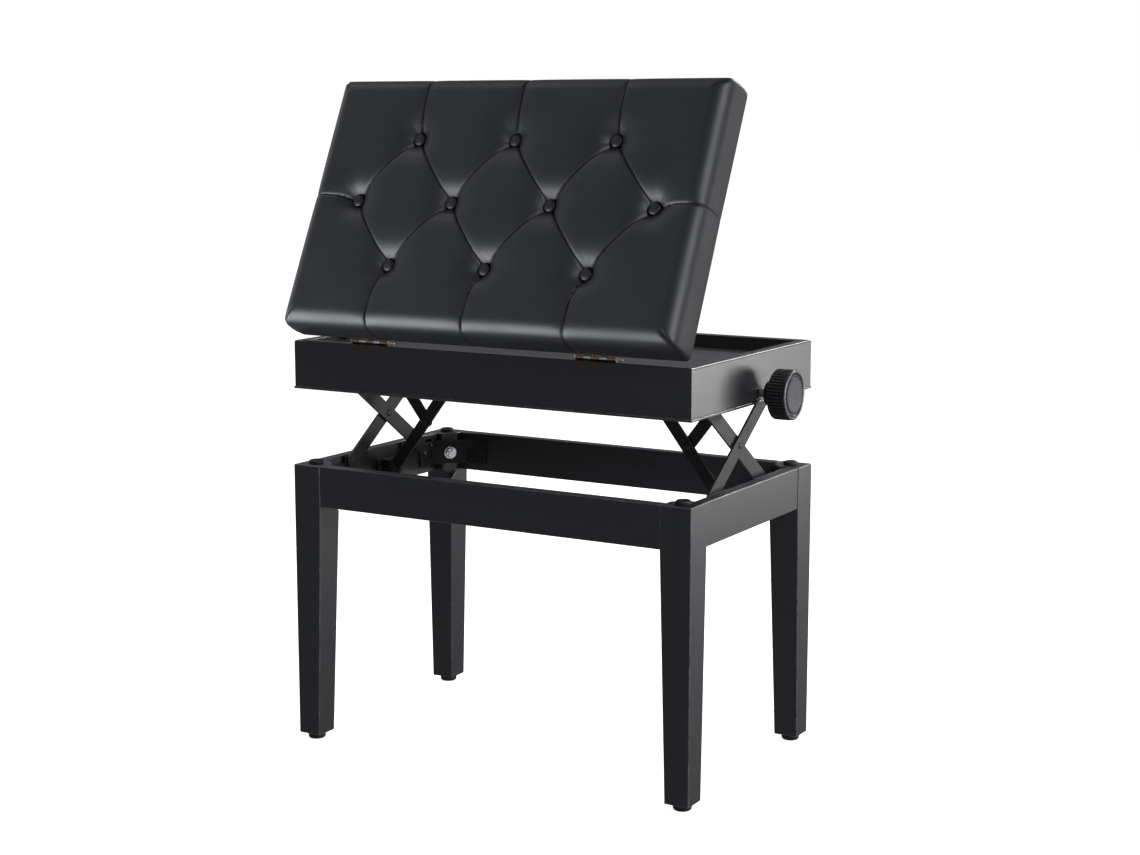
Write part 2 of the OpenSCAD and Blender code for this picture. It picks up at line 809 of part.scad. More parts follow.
module half_arm() {
    w = centre_arm_w;
    translate([-centre_x, 0, top_z]) rotate([0, centre_angle, 0]) difference() {
        bar_xz(centre_half, w, half_y);
        rod_y(centre_pin_r + fit, -20, 20);
        translate([centre_half, 0, 0]) rod_y(centre_pin_r + fit, -20, 20);
    }
}

module arm_rivet() {
    translate([-mid_x, 0, mid_z]) {
        rod_y(centre_pin_r, long_y, half_y + arm_t + 0.3);
        translate([0, long_y, 0]) rotate([90, 0, 0]) dome(4.5, 2);
        translate([0, half_y + arm_t + 0.3, 0]) rotate([-90, 0, 0]) dome(4.5, 1.6);
    }
}

// a threaded block on the screw, with a trunnion pin through the long arm
module nut() {
    block_y = 6;
    translate([-nut_x, 0, 0]) {
        difference() {
            translate([-9, block_y, screw_z - 13]) cube([18, 2 * (screw_y - block_y), 24]);
            translate([0, screw_y, screw_z]) rod_x(screw_r + fit, -20, 20);
        }
        translate([0, 0, top_z]) {
            rod_y(4, long_y - 1.6, block_y);
            rod_y(6, long_y + arm_t + 0.3, block_y);
            translate([0, long_y - 0.6, 0]) rotate([90, 0, 0]) dome(6, 1.6);
        }
    }
}

module left_long_arm() { color("#2f2f31") in_frame() long_arm(); }
module right_long_arm() { color("#2f2f31") in_frame() mirror([1, 0, 0]) long_arm(); }
module left_half_arm() { color("#2f2f31") in_frame() half_arm(); }
module right_half_arm() { color("#2f2f31") in_frame() mirror([1, 0, 0]) half_arm(); }
module left_arm_rivet() { color("#39393b") in_frame() arm_rivet(); }
module right_arm_rivet() { color("#39393b") in_frame() mirror([1, 0, 0]) arm_rivet(); }
module left_nut() { color("#39393b") in_frame() nut(); }
module right_nut() { color("#39393b") in_frame() mirror([1, 0, 0]) nut(); }

// a scissor arm in the YZ plane, its lower end at (y, scissor_low_z); dir +1 rises to the rear
module scissor_arm(x0, y, dir) {
    w = scissor_arm_w;
    turn = dir > 0 ? scissor_angle : 180 - scissor_angle;
    translate([x0, y, scissor_low_z]) rotate([turn, 0, 0]) difference() {
        union() {
            rod_x(w / 2, 0, arm_t);
            translate([0, 2 * scissor_half, 0]) rod_x(w / 2, 0, arm_t);
            translate([0, 0, -w / 2]) cube([arm_t, 2 * scissor_half, w]);
            // stud that slides or bears in the box's rail
            translate([0, 2 * scissor_half, 0]) rod_x(stud_r, 0, rail_x + 2.6 - x0);
            // stud that slides in the base's rail
            if (dir < 0) rod_x(stud_r, 0, rail_x + 1.2 - x0);
        }
        translate([0, scissor_half, 0]) rod_x(3 + (dir < 0 ? fit : 0), -1, arm_t + 1);
        if (dir > 0) rod_x(stud_r + fit, -1, arm_t + 1);
    }
}

module scissor_rivet() {
    translate([0, 0, scissor_mid_z]) {
        rod_x(3, inner_x - 0.3, outer_x + arm_t);
        translate([inner_x - 0.3, 0, 0]) rotate([0, -90, 0]) dome(4.5, 1.2);
        translate([outer_x + arm_t, 0, 0]) rotate([0, 90, 0]) dome(4.5, 1.8);
    }
}

module right_outer_arm() { color("#323234") in_frame() scissor_arm(outer_x, -scissor_y, 1); }
module right_inner_arm() { color("#323234") in_frame() scissor_arm(inner_x, scissor_y, -1); }
module left_outer_arm() {
    color("#323234") in_frame() mirror([1, 0, 0]) scissor_arm(outer_x, -scissor_y, 1);
}
module left_inner_arm() {
    color("#323234") in_frame() mirror([1, 0, 0]) scissor_arm(inner_x, scissor_y, -1);
}
module right_scissor_rivet() { color("#39393b") in_frame() scissor_rivet(); }
module left_scissor_rivet() { color("#39393b") in_frame() mirror([1, 0, 0]) scissor_rivet(); }

// ---- screw and knob ----

module on_screw() {
    in_frame() translate([0, screw_y, screw_z]) children();
}

module lead_screw() {
    color("#5c5c5e") on_screw() rod_x(screw_r, -184, knob_x + 12);
}

// collars on both sides of the far bearing
module screw_collars() {
    color("#39393b") on_screw() for (x = [-bearing_x - 6.4, bearing_t - bearing_x + 0.4]) difference() {
        rod_x(9, x, x + 6);
        rod_x(screw_r, x - 1, x + 7);
    }
}

// ribbed grip with a hub behind it; the cap sits in its recess
module knob() {
    rim_in = 24.5;
    rib = 1;
    color("#26272a") on_screw() difference() {
        union() {
            rod_x(knob_d / 2 - rib, knob_x, knob_x + knob_t - 2);
            rod_x(knob_d / 2 - 1.6, knob_x, knob_x + knob_t);
            rod_x(collar_r, knob_x - collar_t, knob_x);
            for (i = [0 : knob_ribs - 1]) rotate([i * 360 / knob_ribs, 0, 0])
                translate([knob_x + 0.8, knob_d / 2 - 2 * rib, -1]) cube([knob_t - 3.2, 2 * rib, 2]);
        }
        rod_x(screw_r, knob_x - 20, knob_x + 12);
        rod_x(rim_in, knob_x + knob_t - 3, knob_x + knob_t + 1);
    }
}

module knob_cap() {
    x0 = knob_x + knob_t - 3;
    color("#3a3a3c") on_screw() union() {
        rod_x(24.4, x0, x0 + 1.2);
        rod_x(21, x0 + 1.2, x0 + 2.2);
        rod_x(19.5, x0 + 2.2, x0 + 2.8);
    }
}

front_left_leg();
front_right_leg();
rear_left_leg();
rear_right_leg();
front_apron();
rear_apron();
left_apron();
right_apron();
corner_plates();
hanger_bolts();
corner_washers();
corner_nuts();
frame_screws();
bumpers();
foot_glides();
lower_brackets();
lower_rails();
base_pivot_pins();
front_panel();
rear_panel();
left_panel();
right_panel();
tray();
bottom_trim();
upper_brackets();
upper_rails();
box_screws();
box_pivot_pins();
screw_bush();
end_bearing();
hinge_box_leaves();
stay_stud();
left_long_arm();
right_long_arm();
left_half_arm();
right_half_arm();
left_arm_rivet();
right_arm_rivet();
left_nut();
right_nut();
left_outer_arm();
left_inner_arm();
right_outer_arm();
right_inner_arm();
left_scissor_rivet();
right_scissor_rivet();
lead_screw();
screw_collars();
knob();
knob_cap();
lid_board();
cushion();
foam_pad();
buttons();
hinge_lid_leaves();
hinge_pins();
lid_screws();
stay_track();
lid_pads();
stay_arm();
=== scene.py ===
import json
import math

import bmesh
import bpy
import numpy as np
from bpy.props import (
    FloatProperty,
    FloatVectorProperty,
    IntProperty,
    PointerProperty,
)
from mathutils import Matrix, Vector


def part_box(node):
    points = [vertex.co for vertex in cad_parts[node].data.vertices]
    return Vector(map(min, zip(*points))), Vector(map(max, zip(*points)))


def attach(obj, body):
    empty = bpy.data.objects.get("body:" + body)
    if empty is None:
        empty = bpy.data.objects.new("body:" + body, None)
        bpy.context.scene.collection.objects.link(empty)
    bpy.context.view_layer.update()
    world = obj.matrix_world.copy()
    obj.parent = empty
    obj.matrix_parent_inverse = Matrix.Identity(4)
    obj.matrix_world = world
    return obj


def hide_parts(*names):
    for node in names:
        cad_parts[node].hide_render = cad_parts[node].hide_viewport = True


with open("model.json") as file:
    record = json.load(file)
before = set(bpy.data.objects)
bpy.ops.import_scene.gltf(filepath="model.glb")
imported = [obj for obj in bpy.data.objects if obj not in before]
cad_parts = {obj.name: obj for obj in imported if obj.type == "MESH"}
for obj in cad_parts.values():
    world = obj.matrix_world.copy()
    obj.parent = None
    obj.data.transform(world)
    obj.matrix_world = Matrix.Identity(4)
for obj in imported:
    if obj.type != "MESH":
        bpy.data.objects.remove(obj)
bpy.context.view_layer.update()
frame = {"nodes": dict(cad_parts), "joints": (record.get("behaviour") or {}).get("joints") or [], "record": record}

bl_info = {
    "name": "Piano Bench",
    "version": (1, 0, 0),
    "blender": (4, 5, 0),
    "location": "View3D > Sidebar > Bench",
    "description": "Makes the pieces, finishes and stage of a tufted, height-adjustable piano bench",
    "category": "Object",
}

MM = 0.001
WEAR_AND_HIGHLIGHT = "edge_wear_and_highlight"
CREASE_SHADE = "crease_shade"
BOX_EDGE = 0.7 * MM
HARDWARE_EDGE = 0.2 * MM
FASTENER_EDGE = 0.15 * MM


# ---- the frame's own places ----

def joint(name):
    return next(j for j in frame["joints"] if j["name"] == name)


HINGE = Vector(joint("lid_hinge")["pos_m"])
LID_ANGLE = math.radians(-joint("lid_hinge")["range_deg"][0])
# from the closed lid's own axes (x, v from the hinge, d up) to the open lid in the frame
LID = Matrix.Translation(HINGE) @ Matrix.Rotation(LID_ANGLE, 4, "X")


def lid_box(node):
    """Lowest and highest corners of a node of the lid, in the closed lid's own axes."""
    inverse = LID.inverted()
    points = np.array([inverse @ v.co for v in frame["nodes"][node].data.vertices])
    return Vector(points.min(0)), Vector(points.max(0))


SEAT_LOW, SEAT_HIGH = lid_box("cushion")
BOARD_LOW, BOARD_HIGH = lid_box("lid_board")
BUTTONS_LOW, BUTTONS_HIGH = lid_box("buttons")
SCREW_AXIS = Vector(joint("knob_turn")["pos_m"])


# ---- settings ----

class BenchSettings(bpy.types.PropertyGroup):
    edge_radius: FloatProperty(
        name="Wood edge radius", description="Rounding of the wooden edges",
        default=0.0011, min=0.0003, max=0.003, unit="LENGTH")
    steel_radius: FloatProperty(
        name="Steel edge radius", description="Rounding of the pressed steel edges",
        default=0.0003, min=0.0001, max=0.0006, unit="LENGTH")
    lacquer: FloatVectorProperty(
        name="Lacquer", description="Colour of the satin lacquer on the wood", subtype="COLOR",
        size=3, default=(0.0105, 0.0108, 0.0114), min=0, max=1)
    leather: FloatVectorProperty(
        name="Leather", description="Colour of the seat's leather", subtype="COLOR",
        size=3, default=(0.0062, 0.0067, 0.0076), min=0, max=1)
    steel: FloatVectorProperty(
        name="Steel paint", description="Colour of the paint on the lift's steel", subtype="COLOR",
        size=3, default=(0.014, 0.014, 0.0152), min=0, max=1)
    plastic: FloatVectorProperty(
        name="Knob plastic", description="Colour of the moulded knob", subtype="COLOR",
        size=3, default=(0.012, 0.012, 0.0135), min=0, max=1)
    rubber: FloatVectorProperty(
        name="Rubber", description="Colour of the glides and bumpers", subtype="COLOR",
        size=3, default=(0.009, 0.009, 0.0095), min=0, max=1)
    board: FloatVectorProperty(
        name="Board", description="Colour of the matt boards", subtype="COLOR",
        size=3, default=(0.013, 0.013, 0.014), min=0, max=1)


class SeatSettings(bpy.types.PropertyGroup):
    mesh_step: FloatProperty(
        name="Mesh step", description="Size of the faces on the seat's top",
        default=0.0016, min=0.001, max=0.006, unit="LENGTH")
    top_radius: FloatProperty(
        name="Top edge radius", description="Rounding of the seat's top edge",
        default=0.022, min=0.01, max=0.03, unit="LENGTH")
    low_radius: FloatProperty(
        name="Lower edge radius", description="Rounding where the leather turns under the board",
        default=0.005, min=0.003, max=0.01, unit="LENGTH")
    hem: FloatProperty(
        name="Hem", description="Width of the leather under the board",
        default=0.012, min=0.005, max=0.03, unit="LENGTH")
    crown: FloatProperty(
        name="Crown", description="Rise of the seat's middle over its edges",
        default=0.0015, min=0, max=0.006, unit="LENGTH")
    dimple_depth: FloatProperty(
        name="Dimple depth", description="How far a button pulls the leather in",
        default=0.0255, min=0, max=0.04, unit="LENGTH")
    dimple_reach: FloatProperty(
        name="Dimple reach", description="Distance over which a dimple fades",
        default=0.0145, min=0.005, max=0.03, unit="LENGTH")
    pleat_depth: FloatProperty(
        name="Pleat depth", description="Depth of a pleat half way between buttons",
        default=0.0022, min=0, max=0.008, unit="LENGTH")
    pleat_pull: FloatProperty(
        name="Pleat pull", description="Extra depth of a pleat beside a button",
        default=0.0024, min=0, max=0.01, unit="LENGTH")
    pleat_reach: FloatProperty(
        name="Pleat reach", description="Distance over which a pleat's slopes fade",
        default=0.007, min=0.002, max=0.02, unit="LENGTH")
    fold_depth: FloatProperty(
        name="Fold depth", description="Depth of the sharp line in a pleat or seam",
        default=0.0012, min=0, max=0.003, unit="LENGTH")
    fold_width: FloatProperty(
        name="Fold width", description="Half width of the sharp line in a pleat or seam",
        default=0.0009, min=0.0005, max=0.004, unit="LENGTH")
    pleat_drift: FloatProperty(
        name="Pleat drift", description="How far the front pleats run to the left",
        default=0.008, min=0, max=0.02, unit="LENGTH")
    button_radius: FloatProperty(
        name="Button radius", description="Radius of a covered button",
        default=0.0079, min=0.004, max=0.012, unit="LENGTH")
    button_rise: FloatProperty(
        name="Button rise", description="Height of a covered button",
        default=0.0062, min=0.003, max=0.01, unit="LENGTH")
    wrinkles: IntProperty(
        name="Wrinkles", description="Fine wrinkles round a button",
        default=11, min=0, max=24)


def settings():
    return bpy.context.scene.bench_settings


def seat_settings():
    return bpy.context.scene.bench_seat


# ---- making pieces ----

def finished(name, bm, body, material, nodes=(), smooth=40, weighted=True):
    """Links a bmesh as a piece of the bench: smooth but for its sharp edges, riding on its body."""
    mesh = bpy.data.meshes.new(name)
    bm.to_mesh(mesh)
    bm.free()
    mesh.materials.append(material)
    for face in mesh.polygons:
        face.use_smooth = True
        face.material_index = 0
    mesh.set_sharp_from_angle(angle=math.radians(smooth))
    piece = bpy.data.objects.new(name, mesh)
    bpy.context.scene.collection.objects.link(piece)
    if weighted:
        normals = piece.modifiers.new("Weighted normals", "WEIGHTED_NORMAL")
        normals.keep_sharp = True
    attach(piece, body)
    if nodes:
        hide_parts(*nodes)
    return piece


def mark(bm, faces, name):
    layer = bm.loops.layers.float.get(name) or bm.loops.layers.float.new(name)
    for face in faces:
        for loop in face.loops:
            loop[layer] = 1.0


def round_edges(bm, radius, segments, angle):
    """Rounds the outward edges of a mesh and marks the new faces for edge wear and a painted edge highlight."""
    edges = [e for e in bm.edges if e.is_manifold and e.is_convex
             and e.calc_face_angle() > math.radians(angle)]
    made = bmesh.ops.bevel(bm, geom=edges, offset=radius, offset_type="OFFSET", segments=segments,
                           profile=0.5, affect="EDGES", clamp_overlap=False, material=-1)
    mark(bm, made["faces"], WEAR_AND_HIGHLIGHT)


def merged(node):
    """A copy of a CAD node's mesh, its loose triangles joined into flat faces."""
    bm = bmesh.new()
    bm.from_mesh(frame["nodes"][node].data)
    bmesh.ops.remove_doubles(bm, verts=bm.verts, dist=0.002 * MM)
    bmesh.ops.dissolve_limit(bm, angle_limit=math.radians(1), verts=bm.verts, edges=bm.edges)
    return bm


def softened(node, body, material, radius, segments=2, angle=32):
    """The CAD node again, with its edges rounded as they are on the real piece."""
    bm = merged(node)
    round_edges(bm, radius, segments, angle)
    return finished(node + "_piece", bm, body, material, [node])


def body_of(node):
    return next(b for b, ns in frame["record"]["behaviour"]["bodies"].items() if node in ns)


def soften_all(nodes, material, radius, segments=2, angle=32):
    for node in nodes:
        softened(node, body_of(node), material, radius, segments, angle)


def lathe(profile, steps):
    """A closed solid turned about +X from (x, radius) points that start and end on the axis."""
    bm = bmesh.new()
    ring = [bm.verts.new((x, r, 0)) for x, r in profile]
    edges = [bm.edges.new(pair) for pair in zip(ring, ring[1:])]
    bmesh.ops.spin(bm, geom=ring + edges, cent=(0, 0, 0), axis=(1, 0, 0), angle=math.tau,
                   steps=steps, use_merge=True, use_duplicate=False)
    bmesh.ops.remove_doubles(bm, verts=bm.verts, dist=0.001 * MM)
    bmesh.ops.recalc_face_normals(bm, faces=bm.faces)
    return bm


def arc(x, r, radius, start, end, steps):
    """Points of an arc in (x, radius), its angles in degrees from +X towards larger radius."""
    turns = [math.radians(start + (end - start) * i / steps) for i in range(steps + 1)]
    return [(x + radius * math.cos(t), r + radius * math.sin(t)) for t in turns]


def join(target, other):
    """Adds one bmesh to another."""
    mesh = bpy.data.meshes.new("joined")
    other.to_mesh(mesh)
    other.free()
    target.from_mesh(mesh)
    bpy.data.meshes.remove(mesh)


# ---- materials ----

def add(tree, kind, inputs=None, **options):
    """Adds a node. An input is a value or a socket to link, by its name or number."""
    made = tree.nodes.new(kind)
    for key, value in options.items():
        setattr(made, key, value)
    for key, value in (inputs or {}).items():
        if isinstance(value, bpy.types.NodeSocket):
            tree.links.new(value, made.inputs[key])
        else:
            made.inputs[key].default_value = value
    return made


def new_material(name, colour, roughness, metallic=0.0, specular=0.5):
    material = bpy.data.materials.new(name)
    material.use_nodes = True
    tree = material.node_tree
    shader = tree.nodes["Principled BSDF"]
    shader.inputs["Base Color"].default_value = (*colour, 1)
    shader.inputs["Roughness"].default_value = roughness
    shader.inputs["Metallic"].default_value = metallic
    shader.inputs["Specular IOR Level"].default_value = specular
    return material, tree, shader


def place(tree, stretch=(1, 1, 1)):
    where = add(tree, "ShaderNodeTexCoord").outputs["Object"]
    return add(tree, "ShaderNodeMapping", {"Vector": where, "Scale": stretch}).outputs["Vector"]


def noise(tree, where, scale, detail=4.0, roughness=0.55):
    inputs = {"Vector": where, "Scale": scale, "Detail": detail, "Roughness": roughness}
    return add(tree, "ShaderNodeTexNoise", inputs).outputs["Fac"]


def ranged(tree, value, low, high, start=0.3, end=0.7):
    inputs = {"Value": value, "From Min": start, "From Max": end, "To Min": low, "To Max": high}
    return add(tree, "ShaderNodeMapRange", inputs).outputs["Result"]


def blended(tree, factor, first, second):
    """A colour between two, each a colour or a socket."""
    def colour(c):
        return c if isinstance(c, bpy.types.NodeSocket) else (*c, 1)
    # a colour mix has its factor at 0, its colours at 6 and 7, and its result at 2
    inputs = {0: factor, 6: colour(first), 7: colour(second)}
    return add(tree, "ShaderNodeMix", inputs, data_type="RGBA").outputs[2]


def times(tree, first, second):
    return add(tree, "ShaderNodeMath", {0: first, 1: second}, operation="MULTIPLY").outputs[0]


def plus(tree, first, second):
    return add(tree, "ShaderNodeMath", {0: first, 1: second}, operation="ADD").outputs[0]


def bumped(tree, height, distance, strength=1.0, under=None):
    inputs = {"Height": height, "Distance": distance, "Strength": strength}
    if under:
        inputs["Normal"] = under
    return add(tree, "ShaderNodeBump", inputs).outputs["Normal"]


def attribute(tree, name):
    return add(tree, "ShaderNodeAttribute", attribute_name=name).outputs["Fac"]


def connect(tree, shader, **sockets):
    names = {"colour": "Base Color", "roughness": "Roughness", "normal": "Normal",
             "gloss": "Specular IOR Level"}
    for key, value in sockets.items():
        tree.links.new(value, shader.inputs[names[key]])


def scaled(colour, factor):
    return tuple(min(1.0, c * factor) for c in colour)


def lacquer(name, grain):
    """Satin black lacquer over wood whose grain runs along one axis."""
    colour = settings().lacquer
    material, tree, shader = new_material(name, colour, 0.38)
    stretch = [1.0, 1.0, 1.0]
    stretch[grain] = 0.05
    along = place(tree, stretch)
    even = place(tree)
    pores = noise(tree, along, 620, 6, 0.6)
    figure = noise(tree, along, 60, 3)
    peel = noise(tree, even, 300, 2)
    wear_and_highlight = times(tree, attribute(tree, WEAR_AND_HIGHLIGHT), ranged(tree, noise(tree, even, 130, 5), 0.15, 1.0))
    body = blended(tree, ranged(tree, figure, 0, 1), scaled(colour, 0.86), scaled(colour, 1.18))
    # the rounded edges are lightened nine times: partly rubbed lacquer, partly a painted highlight along the edges
    shade = blended(tree, wear_and_highlight, body, scaled(colour, 9))
    rough = plus(tree, ranged(tree, pores, 0.33, 0.41), times(tree, wear_and_highlight, -0.08))
    relief = bumped(tree, pores, 0.00004, 0.35, bumped(tree, peel, 0.00006, 0.25))
    connect(tree, shader, colour=shade, roughness=rough, normal=relief)
    return material


def leather(name):
    """Finely grained black leather, with painted shade and less gloss in its creases and round its buttons."""
    colour = settings().leather
    material, tree, shader = new_material(name, colour, 0.37)
    where = place(tree)
    cells = add(tree, "ShaderNodeTexVoronoi", {"Vector": where, "Scale": 900.0, "Randomness": 1.0},
                feature="DISTANCE_TO_EDGE")
    pebble = ranged(tree, cells.outputs["Distance"], 0, 1, 0.0, 0.22)
    fine = noise(tree, where, 2600, 3, 0.6)
    broad = noise(tree, where, 14, 3)
    mottle = noise(tree, where, 120, 4)
    crease_shade = attribute(tree, CREASE_SHADE)
    shade = blended(tree, ranged(tree, mottle, 0, 1), scaled(colour, 0.85), scaled(colour, 1.12))
    # the leather's colour is halved as painted shade in the creases and round the buttons
    creased = blended(tree, crease_shade, shade, scaled(colour, 0.5))
    gloss = ranged(tree, crease_shade, 0.42, 0.17, 0, 1)
    rough = plus(tree, ranged(tree, broad, 0.43, 0.49), ranged(tree, pebble, 0.05, -0.02, 0, 1))
    relief = bumped(tree, pebble, 0.00007, 0.32, bumped(tree, fine, 0.00003, 0.25))
    connect(tree, shader, colour=creased, roughness=rough, normal=relief, gloss=gloss)
    return material


def painted_steel(name, colour, roughness=0.42):
    """Satin paint with a fine orange peel, rubbed towards bare metal on its edges."""
    material, tree, shader = new_material(name, colour, roughness, specular=0.22)
    where = place(tree)
    peel = noise(tree, where, 900, 3)
    patch = noise(tree, where, 60, 4)
    wear_and_highlight = times(tree, attribute(tree, WEAR_AND_HIGHLIGHT), ranged(tree, noise(tree, where, 260, 5), 0.0, 1.0))
    shade = blended(tree, ranged(tree, patch, 0, 1), scaled(colour, 0.85), scaled(colour, 1.2))
    worn = blended(tree, wear_and_highlight, shade, (0.12, 0.12, 0.125))
    rough = plus(tree, ranged(tree, patch, roughness - 0.05, roughness + 0.05), times(tree, wear_and_highlight, -0.1))
    connect(tree, shader, colour=worn, roughness=rough, normal=bumped(tree, peel, 0.00005, 0.3))
    return material


def plated(name, colour, tarnish, roughness, grain_scale=500):
    """Plated metal with fine scratches and a little tarnish."""
    material, tree, shader = new_material(name, colour, roughness, metallic=1.0)
    where = place(tree)
    scratch = noise(tree, place(tree, (0.08, 1, 1)), grain_scale * 4, 3)
    patch = noise(tree, where, grain_scale, 5, 0.65)
    shade = blended(tree, ranged(tree, patch, 0, 1, 0.45, 0.75), colour, tarnish)
    dull = ranged(tree, patch, roughness - 0.06, roughness + 0.14)
    rough = plus(tree, dull, ranged(tree, scratch, 0, 0.06))
    connect(tree, shader, colour=shade, roughness=rough, normal=bumped(tree, scratch, 0.00003, 0.3))
    return material


def moulded(name, colour, roughness, texture=0.00004, specular=0.5):
    """Moulded plastic or rubber with a fine matt texture."""
    material, tree, shader = new_material(name, colour, roughness, specular=specular)
    where = place(tree)
    grain = noise(tree, where, 1400, 3)
    patch = noise(tree, where, 40, 3)
    shade = blended(tree, ranged(tree, patch, 0, 1), scaled(colour, 0.85), scaled(colour, 1.2))
    rough = ranged(tree, patch, roughness - 0.05, roughness + 0.05)
    connect(tree, shader, colour=shade, roughness=rough, normal=bumped(tree, grain, texture, 0.4))
    return material


def matt_board(name):
    """Black-stained board with pressed fibres."""
    colour = settings().board
    material, tree, shader = new_material(name, colour, 0.6)
    where = place(tree)
    fibres = noise(tree, where, 700, 8, 0.7)
    patch = noise(tree, where, 25, 4)
    shade = blended(tree, ranged(tree, fibres, 0, 1), scaled(colour, 0.75), scaled(colour, 1.35))
    rough = ranged(tree, patch, 0.5, 0.62)
    connect(tree, shader, colour=shade, roughness=rough, normal=bumped(tree, fibres, 0.00012, 0.35))
    return material


def get(name, maker, *values):
    """A material by name, made the first time it is asked for."""
    name = "finish_" + name
    return bpy.data.materials.get(name) or maker(name, *values)


def lacquer_along(axis):
    return get("satin_lacquer_" + "xyz"[axis], lacquer, axis)


def steel():
    return get("black_steel_paint", painted_steel, settings().steel, 0.48)


def blackened():
    return get("blackened_fasteners", painted_steel, scaled(settings().steel, 1.5), 0.34)


def zinc():
    return get("zinc_plate", plated, (0.62, 0.62, 0.63), (0.36, 0.36, 0.37), 0.28)


def rubber():
    return get("black_rubber", moulded, settings().rubber, 0.62, 0.00006, 0.35)


# ---- operators ----

class BENCH_OT_stage(bpy.types.Operator):
    """Makes the floor, the soft studio lights and the camera"""
    bl_idname = "bench.stage"
    bl_label = "Stage"

    def execute(self, context):
        make_floor()
        make_lights()
        make_camera()
        return {"FINISHED"}


def make_floor():
    bm = bmesh.new()
    bmesh.ops.create_circle(bm, cap_ends=True, radius=40, segments=96)
    mesh = bpy.data.meshes.new("studio_floor")
    bm.to_mesh(mesh)
    bm.free()
    floor = bpy.data.objects.new("studio_floor", mesh)
    bpy.context.scene.collection.objects.link(floor)
    material, _, shader = new_material("pale_floor", (0.8, 0.8, 0.8), 0.9, specular=0.0)
    shader.inputs["Emission Color"].default_value = (1, 1, 1, 1)
    shader.inputs["Emission Strength"].default_value = 0.86
    mesh.materials.append(material)
    floor.visible_glossy = False
    floor.visible_diffuse = False


def light_group(name):
    """A collection of pieces that a light is set for."""
    return bpy.data.collections.get(name) or bpy.data.collections.new(name)


def light_leather(piece):
    """Has a piece lit by the lights for the leather, and not by those for the wood."""
    light_group("leather_only").objects.link(piece)
    group = light_group("all_but_leather")
    group.objects.link(piece)
    for member in group.collection_objects:
        member.light_linking.link_state = "EXCLUDE"


def area_light(name, place_m, target, size, power, colour=(1, 1, 1)):
    data = bpy.data.lights.new(name, "AREA")
    data.shape = "RECTANGLE"
    data.size, data.size_y = size
    data.energy = power
    data.color = colour
    lamp = bpy.data.objects.new(name, data)
    bpy.context.scene.collection.objects.link(lamp)
    lamp.location = place_m
    lamp.rotation_euler = (Vector(target) - Vector(place_m)).to_track_quat("-Z", "Y").to_euler()
    lamp.visible_camera = False
    return lamp


def make_lights():
    seat = (0, -0.2, 0.6)
    cool = (0.93, 0.95, 1.0)
    low = area_light("front_low_softbox", (-0.8, -1.05, 0.06), seat, (1.6, 0.8), 56, cool)
    area_light("right_softbox", (2.05, -0.55, 1.5), seat, (0.9, 1.1), 40, cool)
    rear = area_light("rear_right_panel", (2.2, 1.65, 0.3), (0.26, 0, 0.48), (2.2, 0.55), 40)
    seat_rear = area_light("seat_rear_right_panel", (2.2, 1.65, 0.5), seat, (2.2, 0.9), 14)
    area_light("rear_top_softbox", (0.7, 2.3, 1.9), (0, 0, 0.45), (1.0, 0.5), 48)
    overhead = area_light("overhead_softbox", (-1.25, -0.1, 2.5), (0, 0, 0.4), (0.7, 0.7), 16)
    area_light("seat_overhead_softbox", (-1.25, -0.1, 2.5), (0, 0, 0.4), (1.2, 1.2), 5)
    area_light("left_softbox", (-2.2, 0.2, 1.2), (0, 0, 0.4), (0.9, 1.4), 4, cool)
    area_light("front_right_strip", (2.2, -1.45, 0.12), (0, 0, 0.3), (0.5, 0.2), 6)
    # flags keep two of the lights off the leather, and two off everything else
    for lamp in (low, seat_rear):
        lamp.light_linking.receiver_collection = light_group("leather_only")
    for lamp in (rear, overhead):
        lamp.light_linking.receiver_collection = light_group("all_but_leather")
    world = bpy.data.worlds.new("studio")
    bpy.context.scene.world = world
    world.use_nodes = True
    tree = world.node_tree
    surround = tree.nodes["Background"]
    surround.inputs["Color"].default_value = (0.9, 0.93, 1.0, 1)
    surround.inputs["Strength"].default_value = 0.29
    backdrop = add(tree, "ShaderNodeBackground", {"Color": (1, 1, 1, 1), "Strength": 1.0})
    seen = add(tree, "ShaderNodeLightPath").outputs["Is Camera Ray"]
    mix = add(tree, "ShaderNodeMixShader", {0: seen, 1: surround.outputs[0], 2: backdrop.outputs[0]})
    tree.links.new(mix.outputs[0], tree.nodes["World Output"].inputs["Surface"])
    bpy.context.scene.view_settings.view_transform = "Standard"


def make_camera():
    data = bpy.data.cameras.new("camera")
    data.lens = 62.0
    data.sensor_width = 36.0
    camera = bpy.data.objects.new("camera", data)
    bpy.context.scene.collection.objects.link(camera)
    camera.location = (1.2320, -2.0706, 0.7912)
    camera.rotation_euler = (math.radians(80.96), 0, math.radians(30.4835))
    bpy.context.scene.camera = camera


class BENCH_OT_legs(bpy.types.Operator):
    """Makes the four tapered legs"""
    bl_idname = "bench.legs"
    bl_label = "Legs"

    def execute(self, context):
        nodes = ["front_left_leg", "front_right_leg", "rear_left_leg", "rear_right_leg"]
        soften_all(nodes, lacquer_along(2), settings().edge_radius, 3)
        return {"FINISHED"}


class BENCH_OT_aprons(bpy.types.Operator):
    """Makes the four aprons between the legs"""
    bl_idname = "bench.aprons"
    bl_label = "Aprons"

    def execute(self, context):
        soften_all(["front_apron", "rear_apron"], lacquer_along(0), settings().edge_radius, 3)
        soften_all(["left_apron", "right_apron"], lacquer_along(1), settings().edge_radius, 3)
        return {"FINISHED"}


class BENCH_OT_feet(bpy.types.Operator):
    """Makes the rubber foot glides, bumpers and lid pads"""
    bl_idname = "bench.feet"
    bl_label = "Rubber parts"

    def execute(self, context):
        soften_all(["foot_glides", "bumpers", "lid_pads"], rubber(), 0.4 * MM)
        return {"FINISHED"}


